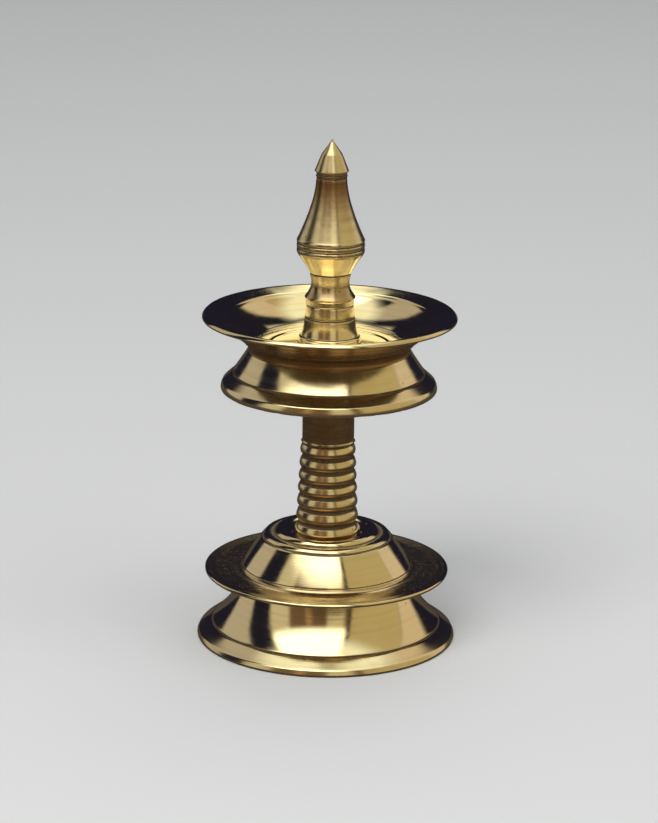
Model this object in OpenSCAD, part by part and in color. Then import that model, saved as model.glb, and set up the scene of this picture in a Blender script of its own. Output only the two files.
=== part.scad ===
// Standing oil lamp of turned brass castings that screw together one above the other:
// a hollow base, a beaded stem, an oil bowl with its skirt, and a finial.
// Origin: centre of the foot, on the table. +Z is up the lamp's axis. Millimetres.

/* [Lamp] */
// Height from the table to the tip; the plain length of the stem takes up the difference
lamp_h = 150; // [130:0.5:200]
// Gap all round between a screwed peg and its bore
peg_gap = 0.05; // [0.02:0.01:0.1]
// Depth left free below the end of a peg in a blind bore
bore_spare = 0.4; // [0.2:0.1:1]

/* [Base] */
// Diameter of the foot
foot_d = 77; // [74:0.1:95]
// Height of the foot's upright edge
foot_edge_h = 1.6; // [1:0.1:3]
// Width of the sloped band inside the foot's edge
foot_band_w = 4.4; // [3:0.1:6]
// Rise of that sloped band
foot_band_rise = 3.0; // [1.5:0.1:4]
// Diameter of the waist below the drip disc
base_waist_d = 50; // [40:0.1:56]
// Height of the drip disc's underside above the table
disc_z = 20.2; // [15:0.1:26]
// Diameter of the drip disc
disc_d = 72.4; // [62:0.1:90]
// Thickness of the drip disc at its edge
disc_t = 1.2; // [0.8:0.1:3]
// Diameter of the dome where it rises from the disc
dome_d = 51.4; // [48:0.1:58]
// Height of the dome above the disc
dome_h = 9.4; // [7:0.1:14]
// Diameter of the lower of the two rings on the dome
ring_low_d = 37.8; // [34:0.1:42]
// Diameter of the upper ring
ring_high_d = 31; // [25:0.1:33]
// Height of each ring
ring_h = 1.15; // [0.8:0.05:2]
// Thickness of the cast wall
base_wall = 2.2; // [1.5:0.1:3]
// Diameter of the hub inside the dome that holds the stem
hub_d = 19; // [16:0.5:24]

/* [Stem] */
// Diameter of the lowest bead
bead_low_d = 18.8; // [16:0.1:22]
// Diameter of the highest bead
bead_high_d = 16.4; // [14.5:0.1:18]
// Number of beads
bead_n = 7; // [3:1:7]
// Distance from one bead to the next
bead_pitch = 4.0; // [3:0.05:4.4]
// Length of the plain foot of the stem, below the lowest bead
stem_toe = 1.2; // [0.8:0.1:3]
// Diameter of the plain length above the beads
stem_d = 15.3; // [13:0.1:17]
// Diameter of the peg that screws into the base
low_peg_d = 10; // [8:0.5:12]
// Length of that peg
low_peg_l = 10; // [6:0.5:11]
// Diameter of the peg that screws into the oil bowl
high_peg_d = 9; // [7:0.5:10]
// Length of that peg
high_peg_l = 5.5; // [4:0.25:5.5]

/* [Oil bowl] */
// Diameter of the pan over its rim
pan_d = 74.6; // [64:0.1:92]
// Thickness of the rim's edge
rim_t = 1.5; // [1:0.1:3]
// Width of the nearly flat rim
rim_w = 6.3; // [4:0.1:8]
// Depth from the rim's top edge to the floor of the pan
pan_depth = 9.5; // [8.5:0.1:14]
// Diameter of the ring where the pan's curved wall meets its floor
pan_floor_d = 44; // [36:0.1:48]
// Diameter of the pan's outside at its bottom corner
pan_foot_d = 50.8; // [49:0.1:54]
// Thickness of the pan's floor
floor_t = 3; // [2.5:0.1:4]
// Diameter of the skirt at its lip
skirt_d = 63.6; // [58:0.1:80]
// Height of the skirt from its lip to the recess below the pan
skirt_h = 11.7; // [10:0.1:18]
// Height of the lip's upright edge
skirt_edge_h = 2.3; // [1.5:0.1:3.5]
// Width of the sloped band above the lip
skirt_band_w = 3.4; // [2:0.1:5]
// Rise of that sloped band
skirt_band_rise = 2.9; // [1.5:0.1:4]
// Diameter of the skirt's waist
skirt_waist_d = 48; // [42:0.1:50]
// Diameter at the bottom of the recess between skirt and pan
recess_d = 47.2; // [46:0.1:47.6]
// Height of the recess between skirt and pan
recess_h = 2.9; // [2:0.1:4]
// Thickness of the skirt's wall
skirt_wall = 2.2; // [1.5:0.1:3]
// Diameter of the boss at the pan's floor
boss_low_d = 17.8; // [16:0.1:22]
// Diameter of the boss at its top
boss_high_d = 14.2; // [13.6:0.1:16]
// Height of the boss above the pan's floor
boss_h = 12.2; // [11:0.1:16]
// Diameter of the stem's seat under the bowl
seat_d = 18; // [17:0.5:24]
// How far that seat stands down from the underside
seat_h = 1; // [0.5:0.1:2]

/* [Finial] */
// Height of the finial from its seat to the tip
finial_h = 48.6; // [44:0.1:60]
// Diameter of the flared collar at the finial's foot
collar_d = 14.9; // [14.2:0.1:18]
// Height of that collar
collar_h = 2.1; // [1.5:0.1:3]
// Diameter of the neck between the collar and the cup
neck_d = 11.2; // [9:0.1:12]
// Height of the groove that ends the neck
neck_z = 9.1; // [8:0.1:10]
// Diameter at the cup's foot
cup_d = 12.4; // [10:0.1:14]
// Diameter of the widest band
band_d = 19.8; // [17:0.1:24]
// Height of the underside of the band
band_z = 14.9; // [13:0.1:16]
// Height of the band
band_h = 4.9; // [3.5:0.1:6]
// Diameter of the bell's narrow top
bell_d = 9.0; // [7.5:0.1:9.3]
// Diameter of the pointed cap at its base
cap_d = 9.9; // [9.4:0.1:12]
// Height of the pointed cap
cap_h = 9.4; // [8:0.1:11]
// Diameter where the cap's slope steepens
cap_kink_d = 6; // [4:0.1:6.5]
// Diameter of the peg that screws into the boss
top_peg_d = 6.5; // [5:0.5:8]
// Length of that peg
top_peg_l = 5.5; // [4:0.25:5.5]

/* [Hidden] */
$fn = 96;
brass = [0.83, 0.68, 0.36];
golden_brass = [0.86, 0.66, 0.28];
groove = 0.3;          // depth and half width of a turned groove
ease = 0.4;            // edge broken at a lip
blend = 1.5;           // fillet between a wall and a flat
peg_root = 0.5;        // how far a peg reaches into its own casting
cut = 1;               // how far a cutting tool runs past the face that it opens
foot_bend = [0.15, 0.48];     // where the foot's wall bends: shares of the way out and up
foot_bend_in = [0.11, 0.42];  // the same inside its hollow
skirt_bend = [0.25, 0.50];    // where the skirt's wall bends
skirt_bend_in = [0.20, 0.48]; // the same inside its hollow
disc_dish = 0.6;       // how far the drip disc falls inwards from its edge
dish_gap = 0.6;        // gap between the lowest bead and the dished seat in the base
dish_drop = 2.1;       // depth of that seat below the upper ring's top
bead_depth = 0.95;     // depth of the grooves between the stem's beads
pan_foot_rise = 1.2;   // height of the pan's outer corner above its floor at the boss
floor_dip = 0.6;       // how far the pan's floor falls from its ring to the boss
rim_dip = 1.4;         // how far the rim falls inwards from its edge
foot_bead_h = 2.2;     // height of the bead round the boss's foot
boss_groove_z = 7.9;   // height of the groove round the boss
neck_waist_z = 6.2;    // height of the finial's narrowest place above its seat
cap_neck_h = 2.6;      // height of the two small rings below the cap
cap_kink_at = 0.54;    // share of the cap's height at which its slope changes
tip_r = 0.35;          // blunted tip of the finial
tip_h = 0.6;           // height of that tip

// Heights of the seats and levels, from the table up
disc_top = disc_z + disc_t;
dome_top = disc_top + dome_h;
ring_top = dome_top + 2 * ring_h;
stem_z = ring_top - dish_drop;
finial_z = lamp_h - finial_h;
floor_z = finial_z - boss_h;
rim_z = floor_z + pan_depth;
ceiling_z = floor_z - floor_t;
bowl_z = ceiling_z - seat_h;
pan_foot_z = floor_z + pan_foot_rise;
skirt_z = pan_foot_z - recess_h - skirt_h;
stem_l = bowl_z - stem_z;

// A smooth curve from a to b whose ends point at the corner c; first = 1 leaves out a itself
function curve(a, c, b, n = 8, first = 0) =
    [for (i = [first:n]) let (t = i / n) (1 - t) * (1 - t) * a + 2 * t * (1 - t) * c + t * t * b];

// A turned groove in an upright stretch of outline, centred on p
function groove_at(p) = [p - [0, groove], p - [groove, 0], p + [0, groove]];

// The edge of a flat flange: radius r, underside at z, thickness t, corners eased
function flange(r, z, t) = [[r - ease, z], [r, z + ease], [r, z + t - ease], [r - ease, z + t]];

// A square ring of radius r and height h on a flat at z, with a fine groove round its foot
function ring(r, z, h) =
    [[r + groove, z], [r, z - groove / 2], [r, z + h - groove], [r - groove, z + h]];

// A rounded bead of height h from height z, swelling from radius r0 to r1
function bead(r0, r1, z, h, n = 8) =
    [for (i = [0:n]) let (a = 180 * i / n) [r0 + (r1 - r0) * pow(sin(a), 0.6), z + h * (1 - cos(a)) / 2]];

// Where a flared wall bends: a share of the way out from its waist and up to its top
function bend(r, z0, waist_r, top, share) = [waist_r + (r - waist_r) * share[0], z0 + (top - z0) * share[1]];

// Outside of a foot or skirt: upright lip, sloped band, groove, and a wall that sweeps in to a waist
function flare(r, edge, band_w, band_rise, waist_r, top, share) =
    let (band = [r - band_w, edge + band_rise]) concat(
        [[r - ease, 0], [r, ease], [r, edge], band, band + [-groove, groove / 2]],
        curve(band + [-2, 2] * groove, bend(r, band[1], waist_r, top, share), [waist_r, top]));

// Inside of a foot or skirt, one wall in from its outside
function hollow(r, edge, band_w, band_rise, waist_r, top, wall, share) =
    let (band = [r - band_w - wall, edge + band_rise * 0.6]) concat(
        [[0, -cut], [r - wall, -cut], [r - wall, edge * 0.6]],
        curve(band, bend(r, band[1], waist_r - wall, top, share), [waist_r - wall, top], 6));

module turned(points) { rotate_extrude() polygon(points); }

// A screwed peg below (down) or above its casting's end face at z
module peg(d, l, z, down) {
    translate([0, 0, down ? z - l : z - peg_root]) cylinder(d = d, h = l + peg_root);
}

// The bore for a peg, from the face at z upwards or down
module bore(d, l, z, down) {
    translate([0, 0, z]) mirror([0, 0, down ? 1 : 0])
        translate([0, 0, -cut]) cylinder(d = d + 2 * peg_gap, h = l + bore_spare + cut);
}

// Hollow casting: flared foot, drip disc, dome with two rings, and the hub that takes the stem
module base() {
    foot_r = foot_d / 2;
    waist_r = base_waist_d / 2;
    dome_r = dome_d / 2;
    low_r = ring_low_d / 2;
    high_r = ring_high_d / 2;
    dish_r = bead_low_d / 2 + dish_gap;
    hub_z = stem_z - low_peg_l - bore_spare;
    under_z = disc_z - disc_dish;
    dome_z = disc_top - disc_dish;
    color(brass) difference() {
        turned(concat(
            [[0, 0]],
            flare(foot_r, foot_edge_h, foot_band_w, foot_band_rise, waist_r, under_z - blend, foot_bend),
            curve([waist_r, under_z - blend], [waist_r, under_z], [waist_r + blend, under_z], 4, 1),
            flange(disc_d / 2, disc_z, disc_t),
            curve([dome_r + blend, dome_z], [dome_r, dome_z], [dome_r - ease, disc_top + ease], 4),
            curve([dome_r - ease, disc_top + ease], [(dome_r + low_r) / 2 + blend / 2, disc_top + dome_h * 0.58],
                  [low_r + ease, dome_top - groove], 10, 1),
            ring(low_r, dome_top, ring_h),
            ring(high_r, dome_top + ring_h, ring_h),
            curve([high_r - blend, ring_top], [dish_r + blend, ring_top], [dish_r, stem_z], 5),
            [[0, stem_z]]));
        difference() {
            turned(concat(
                hollow(foot_r, foot_edge_h, foot_band_w, foot_band_rise, waist_r, disc_z, base_wall,
                       foot_bend_in),
                curve([waist_r - base_wall, disc_z], [dome_r - 2 * blend - base_wall, dome_top - base_wall],
                      [low_r - base_wall, dome_top - base_wall], 6, 1),
                [[0, dome_top - base_wall]]));
            translate([0, 0, hub_z]) cylinder(d = hub_d, h = stem_z - hub_z);
        }
        translate([0, 0, hub_z - cut])
            cylinder(d = low_peg_d + 2 * peg_gap, h = stem_z - hub_z + 2 * cut);
    }
}

// Solid turned stem: a plain toe, a stack of beads that taper upwards, and a plain length
module stem() {
    low_r = bead_low_d / 2;
    high_r = bead_high_d / 2;
    stem_r = stem_d / 2;
    beads_top = stem_toe + bead_n * bead_pitch;
    color(golden_brass) {
        translate([0, 0, stem_z]) turned(concat(
            [[0, 0], [low_r - ease, 0]],
            [for (i = [0:bead_n - 1]) let (r = low_r + (high_r - low_r) * i / (bead_n - 1))
                each bead(r - bead_depth, r, stem_toe + i * bead_pitch, bead_pitch)],
            [[stem_r + groove, beads_top + groove], [stem_r, beads_top + 3 * groove],
             [stem_r, stem_l], [0, stem_l]]));
        peg(low_peg_d, low_peg_l, stem_z, true);
        peg(high_peg_d, high_peg_l, bowl_z, false);
    }
}

// Casting that holds the oil: shallow pan with a central boss, above a hollow skirt
module oil_bowl() {
    rim_r = pan_d / 2;
    step_r = rim_r - rim_w;
    floor_r = pan_floor_d / 2;
    foot_r = pan_foot_d / 2;
    waist_r = skirt_waist_d / 2;
    recess_r = recess_d / 2;
    boss_r = boss_low_d / 2;
    top_r = boss_high_d / 2;
    inner_r = waist_r - skirt_wall;
    ceiling = ceiling_z - skirt_z;
    color(brass) difference() {
        turned(concat(
            [[0, skirt_z]],
            [for (p = flare(skirt_d / 2, skirt_edge_h, skirt_band_w, skirt_band_rise, waist_r, skirt_h,
                            skirt_bend)) p + [0, skirt_z]],
            [[recess_r, skirt_z + skirt_h + ease], [recess_r, pan_foot_z - ease],
             [foot_r - ease, pan_foot_z], [foot_r, pan_foot_z + ease]],
            curve([foot_r + ease, pan_foot_z + 2 * ease], [step_r - 3, pan_foot_z + 2.2],
                  [step_r + 2, rim_z - rim_t - ease], 6),
            flange(rim_r, rim_z - rim_t, rim_t),
            [[step_r + groove, rim_z - rim_dip], [step_r, rim_z - rim_dip - groove]],
            curve([step_r - ease, rim_z - rim_dip - 2 * groove], [step_r - 4.1, floor_z + 3.4],
                  [floor_r + groove, floor_z + floor_dip + 0.5], 8),
            [[floor_r, floor_z + floor_dip], [boss_r + blend, floor_z]],
            bead(boss_r - ease, boss_r + groove, floor_z, foot_bead_h, 6),
            curve([boss_r - blend / 2, floor_z + foot_bead_h + ease], [boss_r - blend, floor_z + 4],
                  [top_r + ease, floor_z + boss_groove_z - 2 * groove], 5),
            groove_at([top_r + ease, floor_z + boss_groove_z]),
            [[top_r + groove / 2, finial_z - groove], [top_r - groove / 2, finial_z], [0, finial_z]]));
        difference() {
            translate([0, 0, skirt_z]) turned(concat(
                hollow(skirt_d / 2, skirt_edge_h, skirt_band_w, skirt_band_rise, waist_r,
                       ceiling - blend, skirt_wall, skirt_bend_in),
                curve([inner_r, ceiling - blend], [inner_r, ceiling], [inner_r - blend, ceiling], 4, 1),
                [[0, ceiling]]));
            translate([0, 0, bowl_z]) cylinder(d = seat_d, h = seat_h + cut);
        }
        bore(high_peg_d, high_peg_l, bowl_z, false);
        bore(top_peg_d, top_peg_l, finial_z, true);
    }
}

// Solid turned finial: flared collar, neck, cup, grooved band, bell and pointed cap
module finial() {
    seat_r = boss_high_d / 2;
    collar_r = collar_d / 2;
    neck_r = neck_d / 2;
    cup_r = cup_d / 2;
    band_r = band_d / 2;
    bell_r = bell_d / 2;
    cap_r = cap_d / 2;
    band_top = band_z + band_h;
    cap_z = finial_h - cap_h;
    neck_top = cap_z - cap_neck_h;
    color(golden_brass) {
        translate([0, 0, finial_z]) turned(concat(
            [[0, 0], [seat_r - groove / 2, 0], [seat_r, groove], [seat_r, collar_h - ease],
             [collar_r, collar_h]],
            curve([collar_r - groove / 2, collar_h + ease], [neck_r, collar_h + 2.4], [neck_r, neck_waist_z], 6),
            curve([neck_r, neck_waist_z], [neck_r, neck_z - 1.7], [cup_r - groove, neck_z - 2 * groove], 4, 1),
            groove_at([cup_r, neck_z]),
            curve([cup_r, neck_z + 2 * groove], [cup_r + 0.9, neck_z + 2.8], [band_r - ease, band_z], 6),
            [[band_r, band_z + 2 * ease]],
            groove_at([band_r, band_z + band_h * 0.4]),
            groove_at([band_r, band_z + band_h * 0.72]),
            [[band_r, band_top - ease]],
            curve([band_r - groove, band_top], [bell_r + groove, (band_top + neck_top) / 2 + 2],
                  [bell_r, neck_top], 14),
            groove_at([bell_r, neck_top + 2 * groove]),
            groove_at([bell_r, neck_top + 5 * groove]),
            [[bell_r, cap_z - groove], [bell_r - groove / 2, cap_z], [cap_r - groove / 2, cap_z],
             [cap_r, cap_z + groove], [cap_kink_d / 2, cap_z + cap_h * cap_kink_at]],
            curve([tip_r, finial_h - tip_h], [tip_r, finial_h], [0, finial_h], 3)));
        peg(top_peg_d, top_peg_l, finial_z, true);
    }
}

base();
stem();
oil_bowl();
finial();
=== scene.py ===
"""Looks of a turned brass standing oil lamp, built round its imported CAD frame.

The lamp is four castings that screw together on one axis: a hollow base, a beaded stem, an oil bowl with
a skirt, and a finial. Each is a half section in millimetres that is rounded, subdivided and spun, then
given its threads, casting flaws and a brass finish. The pieces replace the plain CAD nodes and ride on
their bodies.
"""

from __future__ import annotations

import logging
import math
from collections.abc import Iterator
from dataclasses import astuple, dataclass, fields
from enum import Enum

import bmesh
import bpy
from mathutils import Matrix, Vector, noise


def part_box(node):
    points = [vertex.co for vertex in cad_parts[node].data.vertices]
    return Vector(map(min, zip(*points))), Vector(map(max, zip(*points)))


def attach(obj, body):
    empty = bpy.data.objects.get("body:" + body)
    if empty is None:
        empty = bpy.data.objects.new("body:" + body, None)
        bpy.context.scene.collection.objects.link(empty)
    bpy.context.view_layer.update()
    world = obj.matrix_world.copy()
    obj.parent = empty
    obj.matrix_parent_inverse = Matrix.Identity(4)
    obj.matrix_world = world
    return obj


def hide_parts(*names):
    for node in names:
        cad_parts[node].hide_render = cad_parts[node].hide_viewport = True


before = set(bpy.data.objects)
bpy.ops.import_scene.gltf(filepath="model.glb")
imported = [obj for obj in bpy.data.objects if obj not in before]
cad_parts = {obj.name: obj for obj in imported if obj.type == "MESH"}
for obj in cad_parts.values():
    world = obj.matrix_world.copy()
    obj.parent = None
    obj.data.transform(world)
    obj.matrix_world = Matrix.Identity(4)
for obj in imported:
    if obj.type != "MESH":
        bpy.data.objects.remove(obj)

LOG = logging.getLogger("lamp")
MM = 0.001         # the sections are in millimetres, the scene in metres
MICRON = MM * MM   # the relief of a finish is in thousandths of a millimetre
STATIONS = 224     # steps round a turned piece
WELD = 1e-7        # points nearer than this are one, in metres
UPWARD = 0.25      # a quarter turn, from along the turned rings to across them
Pair = tuple[float, float]
Colour = tuple[float, float, float, float]


# ---------------------------------------------------------------------------------------------------------
# Half sections


@dataclass(frozen=True)
class Skin:
    """How a stretch of surface was left by its maker and by use, with shade painted on some, each from 0 to
    1.

    Attributes:
        tarnish_and_shade: how brown the metal has gone, and painted shade on undersides.
        grime_and_shade: how much old polish and soil it holds, and painted shade in grooves and the recess.
        cast: how much of the rough skin of the mould is left.
        dull: how satin it is, where polishing stopped early.
    """

    tarnish_and_shade: float = 0.0
    grime_and_shade: float = 0.0
    cast: float = 0.0
    dull: float = 0.0

    def towards(self, other: Skin, share: float) -> Skin:
        """A skin part of the way to another."""
        pairs = zip(astuple(self), astuple(other))
        return Skin(*(one + (two - one) * share for one, two in pairs))


POLISHED = Skin(0.05)
RINGED = Skin(0.50, dull=0.3)
GOLDEN = Skin(0.22, 0.03, dull=0.3)
SATIN = Skin(0.10, dull=0.8)
STAINED = Skin(0.50, 0.06, dull=0.4)
# Painted shade on undersides: tarnished brown laid where the disc, the bowl, the cap and each bead hang over
# the metal.
UNDERSIDE_TARNISH_AND_SHADE = Skin(0.75, 0.12, dull=0.5)
REDDENED = Skin(0.95, dull=0.7)
# Painted shade: the recess under the pan is made dark brown and near-black.
RECESS_SHADE = Skin(0.95, 0.40, dull=0.7)
# In grooves and creases: tarnished brown and near-black old polish, partly painted shade in the crease.
GROOVE_GRIME_AND_SHADE = Skin(0.65, 0.85, dull=0.5)
CAST = Skin(0.55, 0.30, cast=1.0, dull=0.6)
THREAD = Skin(0.35, 0.25, dull=0.4)
BUFFED = Skin(0.05, dull=0.7)
FILED = Skin(0.08, dull=0.5)
WIPED = Skin(0.15, dull=0.2)


@dataclass
class Corner:
    """One point of a half section, in millimetres.

    Attributes:
        r: distance from the axis.
        z: height.
        ease: radius that the corner is rounded to, or 0.
        skin: how the surface from here on was left.
    """

    r: float
    z: float
    ease: float
    skin: Skin


class Outline:
    """A half section, walked with the metal on the right: outwards over a top, and down an outside.

    Attributes:
        BEAD: a bead's shape, as shares of the way down it and of the way out to its crest.
    """

    BEAD = ((0.0, 0.0), (0.10, 0.0), (0.16, 0.40), (0.36, 0.78), (0.55, 0.98), (0.66, 1.0), (0.80, 0.80),
            (0.88, 0.40), (0.93, 0.0))

    def __init__(self, r: float, z: float, lift: float = 0.0, skin: Skin = POLISHED) -> None:
        """Starts the walk.

        Args:
            r: distance of the first point from the axis, in millimetres.
            z: its height above the seat.
            lift: height of the piece's seat, which is added to every height.
            skin: how the surface is left until it changes.
        """
        self.lift = lift
        self.skin = skin
        self.corners: list[Corner] = [Corner(r, z + lift, 0.0, skin)]

    def wear(self, skin: Skin) -> Outline:
        """Changes how the surface is left from here on, and returns the outline."""
        self.skin = skin
        return self

    def to(self, r: float, z: float, ease: float = 0.0) -> Outline:
        """Walks straight to a point.

        Args:
            r: distance from the axis.
            z: height above the seat.
            ease: radius of the rounded corner there.

        Returns:
            The outline, for the next step.
        """
        self.corners.append(Corner(r, z + self.lift, ease, self.skin))
        return self

    def sweep(self, bend: Pair, end: Pair, steps: int = 12, onto: Skin | None = None) -> Outline:
        """Walks along a smooth curve whose two ends point at a bend.

        Args:
            bend: the point that both ends of the curve aim at.
            end: where the curve stops.
            steps: how many straight steps stand for it.
            onto: what the surface turns into along the way.

        Returns:
            The outline, for the next step.
        """
        start, skin = (self.corners[-1].r, self.corners[-1].z - self.lift), self.skin
        for i in range(1, steps + 1):
            t = i / steps
            self.wear(skin.towards(onto or skin, t))
            here, there, beyond = (1 - t) ** 2, 2 * t * (1 - t), t * t
            self.to(*(here * a + there * b + beyond * c for a, b, c in zip(start, bend, end)))
        return self

    def heading(self) -> Vector:
        """The direction of the last step."""
        last, before = self.corners[-1], self.corners[-2]
        return Vector((last.r - before.r, last.z - before.z)).normalized()

    def groove(self, depth: float = 0.25, width: float = 0.5, ease: float = 0.06) -> Outline:
        """Cuts a groove and walks on past it in the same direction.

        Args:
            depth: how deep it is.
            width: how wide its mouth is.
            ease: radius of its edges.

        Returns:
            The outline, for the next step.
        """
        along, skin, last = self.heading(), self.skin, self.corners[-1]
        into = Vector((along.y, -along.x)) * depth
        start = Vector((last.r, last.z - self.lift))
        last.ease = max(last.ease, ease)
        # The groove's floor gets the near-black groove skin: old polish and painted shade.
        self.wear(GROOVE_GRIME_AND_SHADE)
        for across, down in ((0.15, 0.5), (0.35, 1.0), (0.65, 1.0), (0.85, 0.5)):
            self.to(*(start + along * width * across + into * down))
        return self.wear(skin).to(*(start + along * width), ease)

    def ribs(self, count: int, pitch: float, depth: float) -> Outline:
        """Walks on over a row of shallow turned ribs.

        Args:
            count: how many.
            pitch: distance from one to the next.
            depth: how deep the cuts between them are.

        Returns:
            The outline, for the next step.
        """
        along = self.heading()
        for _ in range(count):
            self.groove(depth, pitch * 0.4, depth * 0.8)
            last = self.corners[-1]
            self.to(last.r + along.x * pitch * 0.6, last.z - self.lift + along.y * pitch * 0.6)
        return self

    def bead(self, inner: float, outer: float, top: float, height: float) -> Outline:
        """Walks down over a bead with a sloped shoulder, a round crest and a plain groove at each end.

        Args:
            inner: radius in the grooves above and below it.
            outer: radius at its widest.
            top: height of its upper groove.
            height: how tall it is.

        Returns:
            The outline, for the next step.
        """
        skin = self.skin
        for down, swell in Outline.BEAD:
            # Painted shade: each groove gets the groove skin, and the lower, downward half of the bead the
            # brown underside skin.
            self.wear(GROOVE_GRIME_AND_SHADE if not swell else skin if down < 0.6 else UNDERSIDE_TARNISH_AND_SHADE)
            self.to(inner + (outer - inner) * swell, top - height * down, 0.06 if swell < 0.5 else 0.25)
        return self.wear(skin)


# ---------------------------------------------------------------------------------------------------------
# Turning a section into a piece


class Hand(Enum):
    """Whether a thread is cut on a peg or in a bore."""

    PEG = -1
    BORE = 1


@dataclass(frozen=True)
class Thread:
    """A screw thread, cut into a plain stretch of a turned piece.

    Attributes:
        hand: on a peg it is cut inwards, and in a bore outwards.
        radius: the plain radius, which stays as the thread's crest, in millimetres.
        low: height of its lower end.
        high: height of its upper end.
        pitch: rise in one turn.
        depth: how deep it is cut.
    """

    hand: Hand
    radius: float
    low: float
    high: float
    pitch: float = 1.25
    depth: float = 0.55

    def cut(self, point: Vector) -> float:
        """Says how deep the thread is cut at a point.

        Args:
            point: a point on the plain stretch, in metres.

        Returns:
            How far the surface moves away from the axis there, in millimetres.
        """
        turn = math.atan2(point.y, point.x) / math.tau
        flank = abs(2 * ((point.z / MM / self.pitch - turn) % 1.0) - 1)
        tooth = min(max(flank * 1.5 - 0.25, 0.0), 1.0)
        ends = min(point.z / MM - self.low, self.high - point.z / MM) / self.pitch
        return self.hand.value * self.depth * tooth * min(max(ends, 0.0), 1.0)

    def holds(self, point: Vector) -> bool:
        """Whether a point lies on the stretch that is cut."""
        off = abs(math.hypot(point.x, point.y) / MM - self.radius)
        return off < 0.01 and self.low < point.z / MM < self.high


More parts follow.
